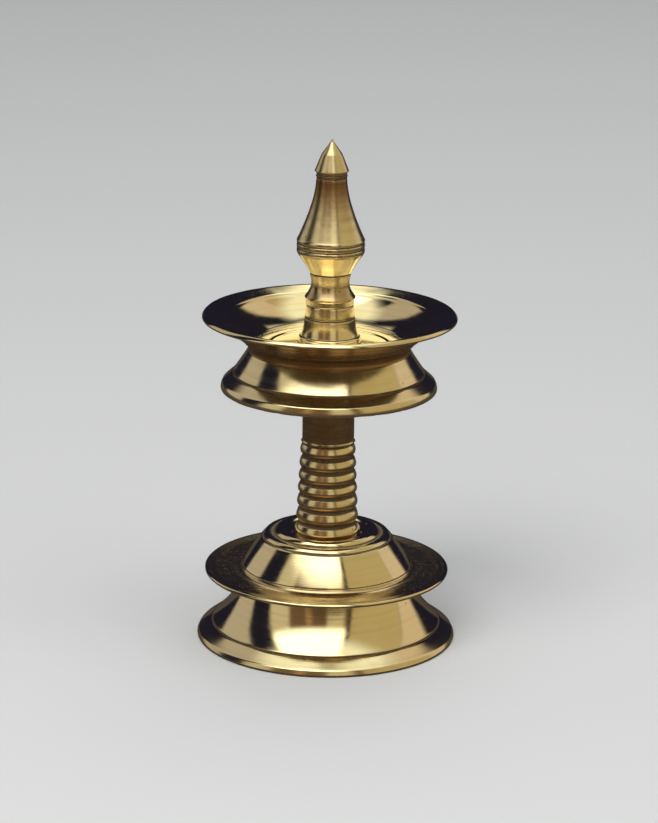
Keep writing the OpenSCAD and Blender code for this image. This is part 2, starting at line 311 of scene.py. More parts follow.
@dataclass
class Turned:
    """A turned casting: what every piece of the lamp has in common.

    Attributes:
        node: the CAD node that it stands for, and the body that it rides on.
        slot: the record's material slot, which is not used.
        finish: its finish.
        grain: longest step along the section, in millimetres.
        wobble: how far the hand-held tool wandered, in millimetres.
    """

    node: str
    slot: str
    finish: BrassFinish
    grain: float = 0.55
    wobble: float = 0.030

    def section(self) -> Outline:
        """The half section, which each piece draws for itself."""
        raise NotImplementedError

    def closed(self) -> bool:
        """Whether the section closes on itself instead of ending on the axis."""
        return False

    def threads(self) -> list[Thread]:
        """The threads that are cut after turning."""
        return []

    def flaws(self, bm: bmesh.types.BMesh) -> None:
        """Adds the casting's own flaws, which most pieces don't have."""

    def wire(self, bm: bmesh.types.BMesh) -> None:
        """Draws the half section as a chain of edges, with its skins, rounded corners and even steps.

        Args:
            bm: the empty mesh that it is drawn in.
        """
        names = [f.name for f in fields(Skin)]
        skins = [bm.verts.layers.float.new(name) for name in names]
        corners = self.section().corners
        verts = [bm.verts.new((c.r * MM, 0.0, c.z * MM)) for c in corners]
        for vert, corner in zip(verts, corners):
            for layer, name in zip(skins, names):
                vert[layer] = getattr(corner.skin, name)
        for one, other in zip(verts, verts[1:]):
            bm.edges.new((one, other))
        if self.closed():
            bm.edges.new((verts[-1], verts[0]))
        for ease in sorted({c.ease for c in corners} - {0.0}):
            chosen = [v for v, c in zip(verts, corners) if c.ease == ease]
            bmesh.ops.bevel(bm, geom=chosen, offset=ease * MM, offset_type="OFFSET", affect="VERTICES",
                            segments=3, profile=0.5, clamp_overlap=True, material=-1)
        by_cuts: dict[int, list[bmesh.types.BMEdge]] = {}
        for edge in bm.edges:
            cuts = math.ceil(edge.calc_length() / (self.grain * MM)) - 1
            by_cuts.setdefault(cuts, []).append(edge)
        for cuts, edges in by_cuts.items():
            if cuts > 0:
                bmesh.ops.subdivide_edges(bm, edges=edges, cuts=cuts)

    def measure(self, bm: bmesh.types.BMesh) -> None:
        """Stores each point's distance along the section, in millimetres, for the turning marks.

        Args:
            bm: the half section.
        """
        along = bm.verts.layers.float.new("along")
        ends = [v for v in bm.verts if len(v.link_edges) == 1]
        here = ends[0] if ends else next(iter(bm.verts))
        came, travelled = None, 0.0
        for _ in range(len(bm.verts)):
            here[along] = travelled / MM
            onward = [e for e in here.link_edges if e is not came]
            if not onward:
                break
            came = onward[0]
            travelled += came.calc_length()
            here = came.other_vert(here)

    def spin(self, bm: bmesh.types.BMesh) -> None:
        """Spins an eighth of the piece, doubles it three times, closes it and turns its faces outwards.

        Args:
            bm: the half section, which becomes the whole piece.
        """
        bmesh.ops.spin(bm, geom=bm.verts[:] + bm.edges[:], cent=(0, 0, 0), axis=(0, 0, 1),
                       angle=math.tau / 8, steps=STATIONS // 8, use_duplicate=False)
        for share in (8, 4, 2):
            made = bmesh.ops.duplicate(bm, geom=bm.verts[:] + bm.edges[:] + bm.faces[:])
            copied = [item for item in made["geom"] if isinstance(item, bmesh.types.BMVert)]
            turn = Matrix.Rotation(math.tau / share, 3, "Z")
            bmesh.ops.rotate(bm, verts=copied, cent=(0, 0, 0), matrix=turn)
        bmesh.ops.remove_doubles(bm, verts=bm.verts[:], dist=WELD)
        bmesh.ops.recalc_face_normals(bm, faces=bm.faces[:])

    def work(self, bm: bmesh.types.BMesh) -> None:
        """Lets the surface wander a little below its true shape, roughens cast skin and cuts threads.

        Args:
            bm: the piece's mesh.
        """
        cast = bm.verts.layers.float["cast"]
        threads = self.threads()
        bm.normal_update()
        for vert in bm.verts:
            thread = next((t for t in threads if t.holds(vert.co)), None)
            if thread:
                out = Vector((vert.co.x, vert.co.y, 0.0)).normalized()
                vert.co += out * thread.cut(vert.co) * MM
                continue
            drift = 0.5 + 0.35 * noise.noise(vert.co * 130) + 0.15 * noise.noise(vert.co * 310)
            rough = 0.5 + 0.5 * noise.noise(vert.co * 900)
            sunk = self.wobble * drift + 0.09 * vert[cast] * rough
            vert.co -= vert.normal * sunk * MM

    def build(self) -> bpy.types.Object:
        """Makes the piece, dresses it and puts it in the place of its CAD node.

        Returns:
            The finished object, at the origin, with its place in its mesh.
        """
        bm = bmesh.new()
        self.wire(bm)
        self.measure(bm)
        self.spin(bm)
        self.work(bm)
        self.flaws(bm)
        for face in bm.faces:
            face.smooth = True
        mesh = bpy.data.meshes.new(f"{self.node}_turned")
        bm.to_mesh(mesh)
        bm.free()
        piece = bpy.data.objects.new(f"{self.node}_turned", mesh)
        bpy.context.scene.collection.objects.link(piece)
        mesh.materials.append(self.finish.material())
        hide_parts(self.node)
        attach(piece, self.node)
        mesh.calc_loop_triangles()
        LOG.info("%s: %d triangles", piece.name, len(mesh.loop_triangles))
        return piece


def seat(node: str, peg: float = 0.0) -> float:
    """Finds the seat that a node stands on.

    Args:
        node: name of the CAD node.
        peg: length of the peg that hangs below its seat, in millimetres.

    Returns:
        The seat's height in millimetres.
    """
    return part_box(node)[0][2] / MM + peg


# ---------------------------------------------------------------------------------------------------------
# The four castings


@dataclass
class Flare:
    """A foot or skirt: upright lip, sloped band, groove and a wall that sweeps in to a waist. Millimetres.

    Attributes:
        radius: at the lip.
        edge: height of the upright lip.
        band: width of the sloped band.
        rise: rise of the sloped band.
        waist: radius at the waist.
        top: height of the waist.
        ceiling: height of the hollow.
        wall: thickness.
        bend: where the wall bends, as shares of the way out and up.
        bend_in: the same inside the hollow.
    """

    radius: float
    edge: float
    band: float
    rise: float
    waist: float
    top: float
    ceiling: float
    wall: float
    bend: Pair
    bend_in: Pair

    def outside(self, line: Outline) -> None:
        """Walks down the outside, from the waist to the lip.

        Args:
            line: the outline, which has come to the waist.
        """
        band, out = self.edge + self.rise, self.radius - self.waist
        bend = (self.waist + out * self.bend[0], band + (self.top - band) * self.bend[1])
        line.sweep(bend, (self.radius - self.band - 0.35, band + 0.35), 26)
        line.groove(0.30, 0.65)
        line.wear(GOLDEN).to(self.radius - 0.60, self.edge + 0.30, 0.2)
        line.to(self.radius - 0.16, self.edge - 0.65, 0.4)
        line.to(self.radius, 0.5, 0.3)
        line.wear(CAST).to(self.radius - 0.30, 0.0, 0.15)

    def inside(self, line: Outline) -> None:
        """Walks back up the hollow, from under the lip to its ceiling.

        Args:
            line: the outline, which has come round the lip.
        """
        inner, low = self.waist - self.wall, self.edge + self.rise * 0.6
        bend = (inner + (self.radius - inner) * self.bend_in[0], low + (self.ceiling - low) * self.bend_in[1])
        line.to(self.radius - self.wall, 0.0, 0.3)
        line.to(self.radius - self.wall, self.edge * 0.6, 0.3)
        line.to(self.radius - self.band - self.wall, low)
        line.sweep(bend, (inner, self.ceiling), 12)


@dataclass
class Base(Turned):
    """The hollow base: flared foot, drip disc, dome with two rings, and the hub for the stem."""

    foot_edge: float = 1.6
    foot_band: float = 4.4
    foot_rise: float = 3.0
    foot_bend: Pair = (0.15, 0.48)
    foot_bend_in: Pair = (0.11, 0.42)
    waist: float = 25.0
    wall: float = 2.2
    disc_z: float = 20.2
    disc_t: float = 1.2
    disc_r: float = 36.2
    dish: float = 0.6
    dome_r: float = 25.7
    dome_top: float = 30.8
    low_ring_r: float = 18.9
    high_ring_r: float = 15.5
    ring_h: float = 1.15
    seat_z: float = 31.0
    seat_r: float = 10.0
    bore_r: float = 5.05
    hub_r: float = 9.5
    hub_z: float = 20.6

    def closed(self) -> bool:
        """The bore goes right through, so the section closes on itself."""
        return True

    def threads(self) -> list[Thread]:
        """The tapped hole for the stem."""
        return [Thread(Hand.BORE, self.bore_r, self.hub_z + 0.4, self.seat_z - 0.8)]

    def section(self) -> Outline:
        """Up the bore, out over the rings and the disc, down the foot and back up the hollow.

        Returns:
            The half section.
        """
        under, disc_top = self.disc_z - self.dish, self.disc_z + self.disc_t
        low, ring_top = disc_top - self.dish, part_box(self.node)[1][2] / MM
        foot = Flare(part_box(self.node)[1][0] / MM, self.foot_edge, self.foot_band, self.foot_rise,
                     self.waist, under - 1.5, self.disc_z, self.wall, self.foot_bend, self.foot_bend_in)
        line = Outline(self.bore_r, self.hub_z, skin=THREAD)
        line.to(self.bore_r, self.seat_z - 0.15, 0.1)
        line.wear(GOLDEN).to(self.seat_r, self.seat_z, 0.25)
        line.wear(POLISHED).sweep((self.seat_r + 1.5, ring_top), (self.high_ring_r - 1.5, ring_top), 14)
        line.to(self.high_ring_r - 0.8, ring_top, 0.3)
        line.to(self.high_ring_r, ring_top - self.ring_h * 0.75, 0.2)
        # The steps under both rings get the groove skin: old polish and painted shade.
        line.wear(GROOVE_GRIME_AND_SHADE).to(self.high_ring_r, ring_top - self.ring_h - 0.12, 0.1)
        line.wear(POLISHED).to(self.low_ring_r - 0.8, ring_top - self.ring_h, 0.3)
        line.to(self.low_ring_r, ring_top - self.ring_h * 1.75, 0.2)
        line.wear(GROOVE_GRIME_AND_SHADE).to(self.low_ring_r, self.dome_top - 0.28, 0.1)
        line.wear(POLISHED).to(self.low_ring_r + 0.5, self.dome_top - 0.28)
        line.sweep((self.dome_r - 3.15, disc_top + 5.0), (self.dome_r - 0.6, disc_top + 1.0), 30)
        line.groove(0.12, 0.3)
        line.wear(STAINED).sweep((self.dome_r + 0.1, low), (self.dome_r + 2.0, low + 0.02), 10)
        line.wear(RINGED).to(self.disc_r - 3.5, low + 0.15)
        line.to(self.disc_r - 1.2, disc_top - 0.06, 0.3)
        line.wear(POLISHED)
        line.to(self.disc_r - 0.35, disc_top, 0.2)
        line.to(self.disc_r, disc_top - 0.45, 0.15)
        line.wear(GOLDEN).to(self.disc_r - 0.1, self.disc_z, 0.35)
        # The disc's underside and the foot's top under it are browned: tarnished metal with painted shade.
        line.wear(UNDERSIDE_TARNISH_AND_SHADE).to(self.waist + 1.5, under, 0.0)
        line.sweep((self.waist, under), (self.waist, foot.top), 8)
        line.wear(POLISHED)
        foot.outside(line)
        foot.inside(line)
        line.sweep((self.dome_r - 3.0 - self.wall, self.dome_top - self.wall),
                   (self.low_ring_r - self.wall, self.dome_top - self.wall), 10)
        line.to(self.hub_r, self.dome_top - self.wall, 0.8)
        line.wear(THREAD).to(self.hub_r, self.hub_z, 0.3)
        return line


@dataclass
class Stem(Turned):
    """The solid stem: toe, beads that taper upwards, plain length, and a screwed peg at each end."""

    low_peg: Pair = (5.0, 10.0)
    high_peg: Pair = (4.5, 5.5)
    toe: float = 0.3
    beads: tuple[float, ...] = (4.15, 4.45, 4.3, 3.7, 3.85, 4.1, 4.1)
    low_bead_r: float = 9.4
    high_bead_r: float = 8.2
    bead_depth: float = 0.95
    plain_r: float = 7.65

    def length(self) -> float:
        """From the lower seat to the upper shoulder."""
        lo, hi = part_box(self.node)
        return (hi[2] - lo[2]) / MM - self.low_peg[1] - self.high_peg[1]

    def threads(self) -> list[Thread]:
        """One on each peg."""
        low, top = seat(self.node, self.low_peg[1]), seat(self.node, self.low_peg[1]) + self.length()
        return [Thread(Hand.PEG, self.low_peg[0], low - self.low_peg[1] + 0.3, low - 0.9),
                Thread(Hand.PEG, self.high_peg[0], top + 0.9, top + self.high_peg[1] - 0.3)]

    def section(self) -> Outline:
        """From the top of the upper peg, down the stem, to the bottom of the lower peg.

        Returns:
            The half section.
        """
        length = self.length()
        line = Outline(0.0, length + self.high_peg[1], seat(self.node, self.low_peg[1]), THREAD)
        line.to(self.high_peg[0], length + self.high_peg[1], 0.5)
        line.to(self.high_peg[0], length, 0.15)
        # The plain length in the shade of the bowl is browned: tarnished metal with painted shade.
        line.wear(UNDERSIDE_TARNISH_AND_SHADE).to(self.plain_r, length, 0.3)
        top = self.toe + sum(self.beads)
        line.to(self.plain_r, top + 0.9)
        line.wear(GOLDEN).sweep((self.plain_r, top + 0.3), (self.plain_r + 0.35, top + 0.15), 4)
        for i, height in reversed(list(enumerate(self.beads))):
            radius = self.low_bead_r + (self.high_bead_r - self.low_bead_r) * i / (len(self.beads) - 1)
            line.bead(radius - self.bead_depth, radius, top, height)
            top -= height
        # The toe below the lowest bead is browned the same way, with painted shade.
        line.wear(UNDERSIDE_TARNISH_AND_SHADE).to(self.low_bead_r - 0.4, 0.0, 0.2)
        line.wear(THREAD).to(self.low_peg[0], 0.0, 0.15)
        line.to(self.low_peg[0], -self.low_peg[1], 0.6)
        return line.to(0.0, -self.low_peg[1])


@dataclass
class OilBowl(Turned):
    """The casting that holds the oil: pan and boss above a hollow skirt. Heights are from its seat."""

    seat_r: float = 9.0
    seat_h: float = 1.0
    floor_t: float = 3.0
    pan_depth: float = 9.5
    rim_r: float = 37.3
    rim_t: float = 1.5
    step_r: float = 31.0
    ring_r: float = 22.0
    boss_r: float = 8.9
    boss_top_r: float = 7.1
    boss_h: float = 12.2
    foot_r: float = 25.4
    recess_r: float = 23.6
    skirt_r: float = 31.8
    skirt_edge: float = 2.3
    skirt_band: float = 3.4
    skirt_rise: float = 2.9
    skirt_bend: Pair = (0.25, 0.50)
    skirt_bend_in: Pair = (0.20, 0.48)
    skirt_h: float = 11.7
    waist: float = 24.0
    wall: float = 2.2
    low_bore: Pair = (4.55, 5.9)
    high_bore: Pair = (3.3, 5.9)
    flash: float = 0.45

    def level(self) -> float:
        """Height of the seat above the table."""
        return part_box(self.node)[1][2] / MM - self.boss_h - self.floor_t - self.seat_h

    def threads(self) -> list[Thread]:
        """The tapped holes for the stem and the finial."""
        low, top = self.level(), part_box(self.node)[1][2] / MM
        return [Thread(Hand.BORE, self.low_bore[0], low + 0.6, low + self.low_bore[1] - 0.2),
                Thread(Hand.BORE, self.high_bore[0], top - self.high_bore[1] + 0.2, top - 0.6)]

    def section(self) -> Outline:
        """From the floor of the upper bore, over boss and pan, down the skirt, and up to the lower bore.

        Returns:
            The half section.
        """
        low, top = self.level(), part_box(self.node)[1][2] / MM
        floor = self.seat_h + self.floor_t
        height, rim, corner = top - low, floor + self.pan_depth, floor + 1.2
        line = Outline(0.0, height - self.high_bore[1], low, THREAD)
        line.to(self.high_bore[0], height - self.high_bore[1], 0.1)
        line.to(self.high_bore[0], height, 0.15)
        self.boss(line, height, floor)
        self.pan(line, floor, rim)
        self.underside(line, rim, corner)
        self.skirt(line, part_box(self.node)[0][2] / MM - low)
        line.to(self.waist - self.wall, self.seat_h, 1.2)
        line.to(self.seat_r, self.seat_h, 0.3)
        line.wear(THREAD).to(self.seat_r, 0.0, 0.15)
        line.to(self.low_bore[0], 0.0, 0.15)
        line.to(self.low_bore[0], self.low_bore[1], 0.1)
        return line.to(0.0, self.low_bore[1])

    def boss(self, line: Outline, height: float, floor: float) -> None:
        """Walks out over the boss and down to the floor of the pan.

        Args:
            line: the outline, which has come out of the upper bore.
            height: height of the boss.
            floor: height of the pan's floor.
        """
        line.wear(FILED).to(self.boss_top_r - 0.12, height, 0.12)
        line.to(self.boss_top_r + 0.28, floor + 8.6)
        line.groove(0.22, 0.5)
        line.to(self.boss_top_r + 0.42, floor + 7.3)
        line.sweep((self.boss_top_r + 0.65, floor + 5.0), (self.boss_r - 0.3, floor + 3.3), 10)
        line.groove(0.1, 0.3)
        line.sweep((self.boss_r + 0.45, floor + 2.7), (self.boss_r + 0.3, floor + 1.4), 8)
        line.sweep((self.boss_r + 0.2, floor + 0.3), (self.boss_r - 0.2, floor + 0.2), 5)
        # The corner at the boss's foot gets the groove skin: old polish and painted shade.
        line.wear(GROOVE_GRIME_AND_SHADE).to(self.boss_r, floor + 0.1, 0.1)

    def pan(self, line: Outline, floor: float, rim: float) -> None:
        """Walks over the floor, up the curved wall and out over the rim.

        Args:
            line: the outline, which has come down the boss.
            floor: height of the pan's floor.
            rim: height of its rim.
        """
        line.wear(POLISHED).to(self.boss_r + 0.5, floor + 0.3, 0.2)
        line.to(self.ring_r - 4.7, floor + 0.05, 0.2)
        line.to(self.ring_r - 4.2, floor + 0.3, 0.2)
        line.to(self.ring_r - 0.2, floor + 0.55, 0.12)
        line.to(self.ring_r + 0.25, floor + 1.0, 0.2)
        line.sweep((self.step_r - 4.1, floor + 3.4), (self.step_r - 0.45, rim - 2.1), 20)
        line.to(self.step_r, rim - 1.75, 0.12)
        line.to(self.step_r + 0.35, rim - 1.35, 0.2)
        line.to(self.rim_r - 0.75, rim, 0.3)

    def underside(self, line: Outline, rim: float, corner: float) -> None:
        """Walks round the rim's edge, in under the pan and down into the recess above the skirt.

        Args:
            line: the outline, which has come to the rim.
            rim: height of the rim.
            corner: height where the pan's underside meets the recess.
        """
        line.to(self.rim_r, rim - 0.9, 0.3)
        line.wear(GOLDEN).to(self.rim_r - 0.1, rim - self.rim_t, 0.2)
        # Under the rim the pan is browned: tarnished metal with painted shade.
        line.wear(UNDERSIDE_TARNISH_AND_SHADE).to(self.step_r + 2, rim - self.rim_t - 0.4)
        line.sweep((self.foot_r + 4.45, corner + 4.1), (self.foot_r + 2.6, corner + 2.6), 8)
        line.ribs(4, 0.7, 0.13)
        line.to(self.foot_r, corner + 0.5, 0.2)
        # Painted shade: the recess under the pan is made dark brown and near-black.
        line.wear(RECESS_SHADE).to(self.foot_r - 0.3, corner, 0.15)
        line.to(self.recess_r, corner - 0.4, 0.5)
        line.to(self.recess_r, corner - 2.3, 0.5)

    def skirt(self, line: Outline, lip: float) -> None:
        """Walks down the skirt and back up its hollow, to its ceiling.

        Args:
            line: the outline, which has come to the foot of the recess.
            lip: height of the skirt's lip, which its own heights start from.
        """
        flare = Flare(self.skirt_r, self.skirt_edge, self.skirt_band, self.skirt_rise, self.waist,
                      self.skirt_h, self.seat_h - 1.5 - lip, self.wall, self.skirt_bend, self.skirt_bend_in)
        line.lift += lip
        line.wear(WIPED).to(self.waist, self.skirt_h, 0.15)
        flare.outside(line)
        flare.inside(line)
        line.lift -= lip

    def flaws(self, bm: bmesh.types.BMesh) -> None:
        """Leaves the skirt's lip with the ragged flash of its mould.

        Args:
            bm: the piece's mesh.
        """
        lip, lip_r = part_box(self.node)[0][2], self.skirt_r - self.wall - 0.6
        for vert in bm.verts:
            out = math.hypot(vert.co.x, vert.co.y) / MM
            low = 1.0 - (vert.co.z - lip) / MM / 0.5
            if low > 0 and out > lip_r:
                ragged = noise.noise(Vector((vert.co.x, vert.co.y, 0.0)) * 700)
                patch = noise.noise(Vector((vert.co.x, vert.co.y, 5.0)) * 60)
                vert.co.z += max(0.0, ragged * 0.7 + patch * 0.5) * min(low, 1.0) * self.flash * MM


@dataclass
class Finial(Turned):
    """The solid finial: collar, neck, cup, grooved band, bell and pointed cap. Heights from its seat."""

    peg: Pair = (3.25, 5.5)
    seat_r: float = 7.1
    collar_r: float = 7.45
    collar_h: float = 2.1
    neck_r: float = 5.6
    neck_z: float = 9.1
    cup_r: float = 6.2
    band_z: float = 14.9
    band_h: float = 4.9
    bell_r: float = 4.5
    cap_r: float = 4.95
    cap_h: float = 9.4
    kink_r: float = 3.0
    tip_r: float = 0.35

    def threads(self) -> list[Thread]:
        """The thread of the peg that goes into the boss."""
        low = seat(self.node, self.peg[1])
        return [Thread(Hand.PEG, self.peg[0], low - self.peg[1] + 0.3, low - 0.7, 1.0, 0.45)]

    def section(self) -> Outline:
        """From the tip down to the bottom of the peg.

        Returns:
            The half section.
        """
        low = seat(self.node, self.peg[1])
        height, band_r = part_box(self.node)[1][2] / MM - low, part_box(self.node)[1][0] / MM
        cap, band_top = height - self.cap_h, self.band_z + self.band_h
        line = Outline(0.0, height, low, SATIN)
        line.sweep((self.tip_r, height), (self.tip_r, height - 0.6), 4)
        line.to(self.kink_r, cap + self.cap_h * 0.54, 0.15)
        line.to(self.cap_r, cap + 0.25, 0.12)
        line.to(self.cap_r - 0.1, cap, 0.08)
        # Under the cap: the groove skin, then the brown underside skin, both with painted shade.
        line.wear(GROOVE_GRIME_AND_SHADE).to(self.bell_r - 0.12, cap, 0.1)
        line.wear(UNDERSIDE_TARNISH_AND_SHADE).to(self.bell_r, cap - 0.6)
        line.groove(0.2, 0.5)
        line.to(self.bell_r, cap - 1.6)
        line.groove(0.15, 0.45)
        line.to(self.bell_r, cap - 2.6)
        line.wear(REDDENED)
        line.sweep((self.bell_r + 0.3, (band_top + cap - 2.6) / 2 + 2), (band_r - 0.3, band_top), 34, BUFFED)
        line.wear(GOLDEN).to(band_r, band_top - 0.4, 0.3)
        line.to(band_r, self.band_z + self.band_h * 0.72 + 0.3)
        line.groove(0.3, 0.6, 0.35)
        line.to(band_r, self.band_z + self.band_h * 0.4 + 0.3)
        line.groove(0.3, 0.6, 0.35)
        line.to(band_r, self.band_z + 0.8, 0.3)
        line.to(band_r - 0.4, self.band_z, 0.3)
        line.sweep((self.cup_r + 0.9, self.neck_z + 2.8), (self.cup_r, self.neck_z + 0.5), 14)
        line.groove(0.25, 0.6)
        line.sweep((self.neck_r, self.neck_z - 1.7), (self.neck_r, 6.2), 8)
        line.wear(STAINED)
        line.sweep((self.neck_r, self.collar_h + 2.4), (self.collar_r - 0.12, self.collar_h + 0.35), 12)
        line.to(self.collar_r, self.collar_h, 0.12)
        line.wear(GOLDEN).to(self.seat_r, self.collar_h - 0.4, 0.15)
        line.to(self.seat_r, 0.25, 0.1)
        # The edge under the seat gets the groove skin: old polish and painted shade.
        line.wear(GROOVE_GRIME_AND_SHADE).to(self.seat_r - 0.15, 0.0, 0.08)
        line.wear(THREAD).to(self.peg[0], 0.0, 0.15)
        line.to(self.peg[0], -self.peg[1], 0.5)
        return line.to(0.0, -self.peg[1])


# ---------------------------------------------------------------------------------------------------------
# Finishes


class Net:
    """A node tree that is being wired, with its nodes laid out in columns."""

    def __init__(self, tree: bpy.types.NodeTree) -> None:
        """Takes an empty tree."""
        self.tree = tree
        self.count = 0

    def add(self, kind: str, settings: dict | None = None, **inputs: object) -> bpy.types.Node:
        """Adds a node.

        Args:
            kind: its type's name, without ShaderNode in front.
            settings: properties of the node itself.
            **inputs: what each input socket gets: a value, or another node's output socket. A socket is
                named with _ for each space, or i0, i1 and so on by its place.

        Returns:
            The node.
        """
        name = kind if kind.startswith("NodeGroup") else f"ShaderNode{kind}"
        node = self.tree.nodes.new(name)
        node.location = (220 * (self.count // 4), -220 * (self.count % 4))
        self.count += 1
        for key, value in (settings or {}).items():
            setattr(node, key, value)
        for key, value in inputs.items():
            by_place = key[0] == "i" and key[1:].isdigit()
            self.feed(node.inputs[int(key[1:]) if by_place else key.replace("_", " ")], value)
        return node

    def feed(self, socket: bpy.types.NodeSocket, value: object) -> None:
        """Links or sets one input socket.

        Args:
            socket: the input.
            value: its value, or another node's output socket.
        """
        if isinstance(value, bpy.types.NodeSocket):
            self.tree.links.new(value, socket)
        else:
            socket.default_value = value

    def math(self, sum_: str, *terms: object, clamp: bool = False) -> bpy.types.NodeSocket:
        """Adds a Math node and returns its output."""
        inputs = {f"i{i}": term for i, term in enumerate(terms)}
        return self.add("Math", {"operation": sum_, "use_clamp": clamp}, **inputs).outputs[0]

    def between(self, value: object, low: float, high: float) -> bpy.types.NodeSocket:
        """A smooth step from 0 at low to 1 at high."""
        node = self.add("MapRange", {"interpolation_type": "SMOOTHSTEP"}, i0=value, i1=low, i2=high)
        return node.outputs[0]

    def mix(self, share: object, one: object, other: object) -> bpy.types.NodeSocket:
        """Mixes two colours.

        Args:
            share: how much of the other there is, from 0 to 1.
            one: a colour, or an output socket.
            other: another.

        Returns:
            The mixed colour's socket.
        """
        node = self.add("Mix", {"data_type": "RGBA"}, i0=share)
        self.feed(node.inputs[6], one)
        self.feed(node.inputs[7], other)
        return node.outputs[2]

    def read(self, name: str) -> bpy.types.NodeSocket:
        """A number that is stored on the mesh."""
        return self.add("Attribute", {"attribute_name": name}).outputs["Fac"]


class Effect:
    """A shared effect: a node group with named numbers going in and coming out, made once."""

    made: dict[str, bpy.types.NodeTree] = {}

    def __init__(self, name: str, wanted: dict[str, float], given: tuple[str, ...]) -> None:
        """Names the group.

        Args:
            name: the group's name.
            wanted: its inputs, with their defaults.
            given: its outputs.
        """
        self.name, self.wanted, self.given = name, wanted, given

    def wire(self, net: Net, into: bpy.types.Node) -> dict[str, bpy.types.NodeSocket]:
        """Wires the group. Each effect does this for itself.

        Args:
            net: the group's tree.
            into: the node that holds the group's inputs.

        Returns:
            The socket for each output.
        """
        raise NotImplementedError

    def tree(self) -> bpy.types.NodeTree:
        """Makes the group when it is first wanted.

        Returns:
            The group's tree.
        """
        if self.name not in Effect.made:
            tree = bpy.data.node_groups.new(self.name, "ShaderNodeTree")
            for name, value in self.wanted.items():
                socket = tree.interface.new_socket(name=name, in_out="INPUT", socket_type="NodeSocketFloat")
                socket.default_value = value
            for name in self.given:
                tree.interface.new_socket(name=name, in_out="OUTPUT", socket_type="NodeSocketFloat")
            net = Net(tree)
            into, out = net.add("NodeGroupInput"), net.add("NodeGroupOutput")
            for name, socket in self.wire(net, into).items():
                net.feed(out.inputs[name], socket)
            Effect.made[self.name] = tree
        return Effect.made[self.name]

    def place(self, net: Net, **values: object) -> bpy.types.Node:
        """Places the group in a material with its own values."""
        return net.add("Group", {"node_tree": self.tree()}, **values)


class TurningMarks(Effect):
    """Fine rings that the turning tool and the polishing cloth left, which come and go round the piece."""

    def __init__(self) -> None:
        """Names the group's sockets."""
        super().__init__("turning_marks", {"Spacing": 0.4, "Fade": 0.5}, ("Height", "Shade"))

    def wire(self, net: Net, into: bpy.types.Node) -> dict[str, bpy.types.NodeSocket]:
        """Rings follow the distance along the section, and a slow noise makes them come and go.

        Args:
            net: the group's tree.
            into: the node that holds the group's inputs.

        Returns:
            The socket for each output.
        """
        place = net.add("TexCoord").outputs["Object"]
        along = net.math("DIVIDE", net.read("along"), into.outputs["Spacing"])
        line = {"noise_dimensions": "1D"}
        fine = net.add("TexNoise", line, W=along, Scale=1.0, Detail=3.0, Roughness=0.65)
        wide = net.add("TexNoise", line, W=along, Scale=0.23, Detail=2.0, Roughness=0.5)
        slow = net.add("TexNoise", i0=place, Scale=95.0, Detail=2.0)
        fade = net.between(slow.outputs[0], 0.30, 0.62)
        kept = net.math("MULTIPLY", fade, into.outputs["Fade"])
        share = net.math("SUBTRACT", 1.0, net.math("SUBTRACT", into.outputs["Fade"], kept))
        height = net.math("MULTIPLY", net.math("SUBTRACT", fine.outputs[0], 0.5), share)
        shade = net.math("MULTIPLY", net.math("SUBTRACT", wide.outputs[0], 0.5), share)
        return {"Height": height, "Shade": shade}


class PatinaAndShade(Effect):
    """Tarnished brown and near-black soil, both with painted shade in them, thickest where the mesh says and
    broken up by wiping.
    """

    def __init__(self) -> None:
        """Names the group's sockets."""
        super().__init__("patina_and_shade", {"Amount": 1.0, "Scale": 160.0}, ("Brown", "Grime_and_shade", "Blush"))

    def wire(self, net: Net, into: bpy.types.Node) -> dict[str, bpy.types.NodeSocket]:
        """Noise is added to the stored tarnish_and_shade and grime_and_shade, and the sum is stepped.

        Args:
            net: the group's tree.
            into: the node that holds the group's inputs.

        Returns:
            The socket for each output.
        """
        place = net.add("TexCoord").outputs["Object"]
        cloud = net.add("TexNoise", i0=place, i2=into.outputs["Scale"], Detail=5.0, Roughness=0.62).outputs[0]
        speck = net.add("TexNoise", i0=place, Scale=900.0, Detail=3.0, Roughness=0.6).outputs[0]
        stain_and_shade = net.math("ADD", net.math("MULTIPLY", net.read("tarnish_and_shade"), into.outputs["Amount"]),
                         net.math("MULTIPLY", net.math("SUBTRACT", cloud, 0.5), 0.5))
        brown = net.between(stain_and_shade, 0.08, 1.0)
        dirt_and_shade = net.math("ADD", net.read("grime_and_shade"),
                        net.math("MULTIPLY", net.math("SUBTRACT", speck, 0.5), 0.35))
        grime_and_shade = net.between(dirt_and_shade, 0.25, 1.0)
        patch = net.add("TexNoise", i0=place, Scale=55.0, Detail=3.0, Roughness=0.5).outputs[0]
        return {"Brown": brown, "Grime_and_shade": grime_and_shade, "Blush": net.between(patch, 0.42, 0.75)}


class Pits(Effect):
    """Small pin holes of a sand casting that polishing has opened."""

    def __init__(self) -> None:
        """Names the group's sockets."""
        super().__init__("pits", {"Scale": 420.0, "Share": 0.1}, ("Mask",))

    def wire(self, net: Net, into: bpy.types.Node) -> dict[str, bpy.types.NodeSocket]:
        """A few cells out of many hold a pit, and no two are of one size.

        Args:
            net: the group's tree.
            into: the node that holds the group's inputs.

        Returns:
            The socket for each output.
        """
        place = net.add("TexCoord").outputs["Object"]
        cells = net.add("TexVoronoi", i0=place, i2=into.outputs["Scale"])
        chance = net.add("SeparateColor", i0=cells.outputs["Color"])
        chosen = net.math("LESS_THAN", chance.outputs[0], into.outputs["Share"])
        size = net.math("MULTIPLY_ADD", chance.outputs[1], 0.20, 0.10)
        depth = net.math("SUBTRACT", 1.0, net.math("DIVIDE", cells.outputs["Distance"], size), clamp=True)
        return {"Mask": net.math("MULTIPLY", chosen, depth)}


